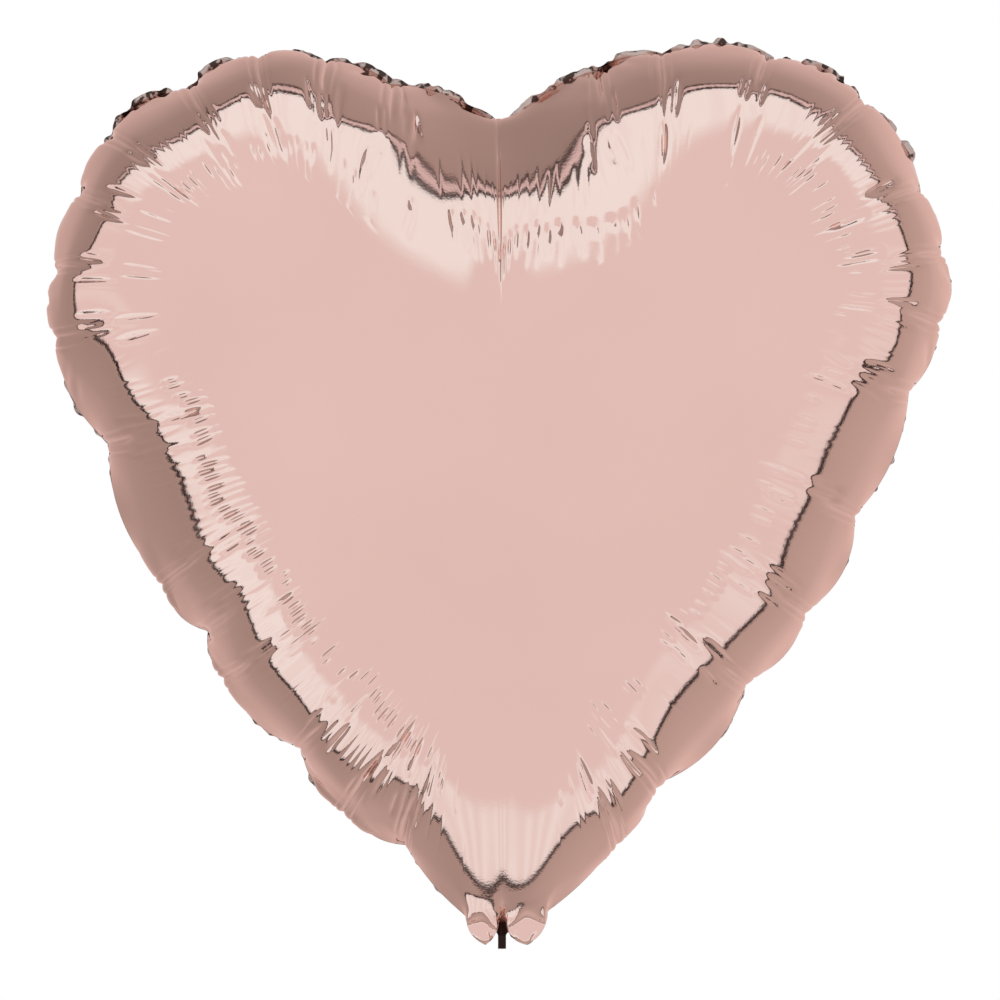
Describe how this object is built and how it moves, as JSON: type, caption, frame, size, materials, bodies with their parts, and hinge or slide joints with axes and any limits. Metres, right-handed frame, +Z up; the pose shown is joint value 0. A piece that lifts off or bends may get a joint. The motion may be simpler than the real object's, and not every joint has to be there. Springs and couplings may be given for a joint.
{
  "type": "heart-shaped foil balloon",
  "caption": "Inflated heart-shaped balloon of metallised film in rose gold, with a pleated welded edge and a filling tail that folds up behind its tip.",
  "frame": {"origin": "the neck at the heart's tip, in the plane of the seam, where a ribbon or weight is tied", "axes": "+Z up from the tip to the cleft, +X to the right as seen from the front, the front faces -Y"},
  "size_m": [0.3849, 0.1348, 0.3864],
  "materials": {
    "foil": "polished",
    "weld": "satin",
    "clear_film": "gloss"
  },
  "bodies": {
    "envelope": {"front_panel": "foil", "back_panel": "foil", "edge_weld": "weld", "valve_film_front": "clear_film", "valve_film_back": "clear_film"},
    "tail": {"tail_front_ply": "foil", "tail_back_ply": "foil", "tail_weld_left": "weld", "tail_weld_right": "weld", "inlet_film_front": "clear_film", "inlet_film_back": "clear_film"}
  },
  "joints": [
    {"name": "tail_fold", "type": "hinge", "parent": "envelope", "child": "tail", "pos_m": [0, 0.0019, -0.0052], "axis": [1, 0, 0], "range_deg": [-134, 0]}
  ]
}
